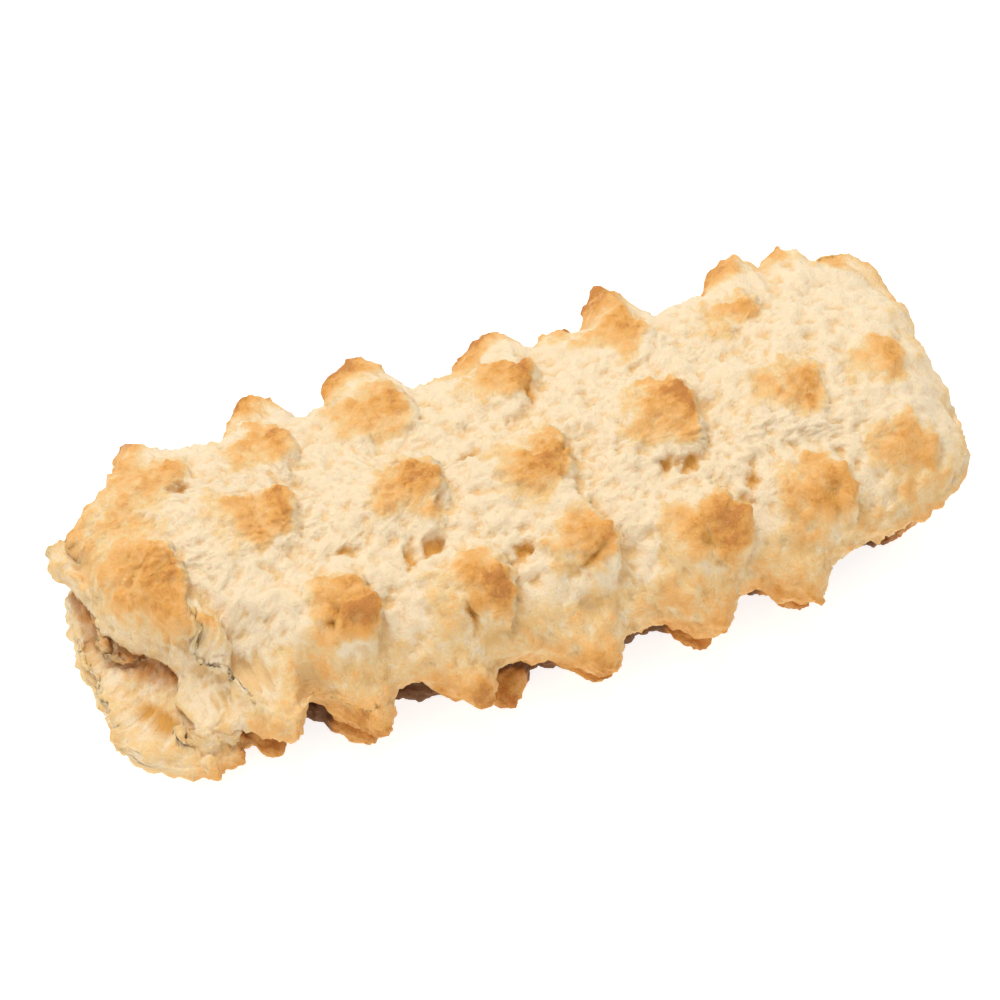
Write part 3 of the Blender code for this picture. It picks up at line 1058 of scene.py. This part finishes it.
@dataclass
class Studio:
    """The pale floor, the soft lights and the camera, whose target and distance are in millimetres."""

    target: tuple[float, float, float] = (0.22, 6.81, 0.0)
    turn: float = -19.4
    rise: float = 47.5
    distance: float = 403.0
    lens: float = 150.0
    floor_size: float = 3.0
    paper: tuple[float, float, float] = (0.5, 0.5, 0.5)
    paper_glow: float = 0.8
    surround: tuple[float, float, float] = (1.0, 0.965, 0.915)
    surround_strength: float = 0.58
    softboxes: tuple[Softbox, ...] = (
        Softbox("overhead softbox", (-0.1, 0.3, 0.9), 0.8, 6.4),
        Softbox("front fill", (-0.6, -0.6, 0.5), 0.8, 1.15),
    )

    def floor(self) -> bpy.types.Object:
        """Lay the floor.

        Returns:
            The floor.
        """
        bpy.ops.mesh.primitive_plane_add(size=self.floor_size)
        floor = bpy.context.object
        floor.name = "studio_floor"
        recipe = Recipe("studio paper")
        floor.data.materials.append(recipe.finish({
            "Base Color": self.paper,
            "Roughness": 0.9,
            "Emission Color": (1.0, 1.0, 1.0),
            "Emission Strength": self.paper_glow,
        }))
        return floor

    def camera(self) -> None:
        """Set up the camera at the photo's angle."""
        turn, rise = math.radians(self.turn), math.radians(self.rise)
        back = Vector((math.sin(turn) * math.cos(rise), -math.cos(turn) * math.cos(rise), math.sin(rise)))
        bpy.ops.object.camera_add(location=(Vector(self.target) + back * self.distance) * MM)
        camera = bpy.context.object
        camera.rotation_euler = (-back).to_track_quat("-Z", "Y").to_euler()
        camera.data.lens = self.lens
        camera.data.sensor_width = 36
        camera.data.clip_start = 0.01
        bpy.context.scene.camera = camera

    def light(self, softbox: Softbox) -> None:
        """Hang a soft light that points at the biscuit."""
        bpy.ops.object.light_add(type="AREA", location=softbox.place)
        light = bpy.context.object
        light.name = softbox.name
        light.data.shape = "DISK"
        light.data.size = softbox.size
        light.data.energy = softbox.power
        light.rotation_euler = (-Vector(softbox.place)).to_track_quat("-Z", "Y").to_euler()

    def world(self) -> None:
        """Surround the studio with even, slightly warm light."""
        world = bpy.data.worlds.new("studio")
        world.use_nodes = True
        background = world.node_tree.nodes["Background"]
        background.inputs["Color"].default_value = (*self.surround, 1.0)
        background.inputs["Strength"].default_value = self.surround_strength
        bpy.context.scene.world = world

    def build(self) -> None:
        """Set the studio up."""
        self.floor()
        for softbox in self.softboxes:
            self.light(softbox)
        self.world()
        self.camera()
        bpy.context.scene.view_settings.view_transform = "Standard"


def main() -> None:
    """Build the biscuit and the studio."""
    logging.basicConfig(level=logging.INFO)
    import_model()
    bpy.ops.object.select_all(action="DESELECT")
    piece = Cookie(Biscuit(), BakedDough()).build()
    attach(piece, "root")
    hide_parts("cookie")
    Studio().build()


if __name__ == "__main__":
    main()
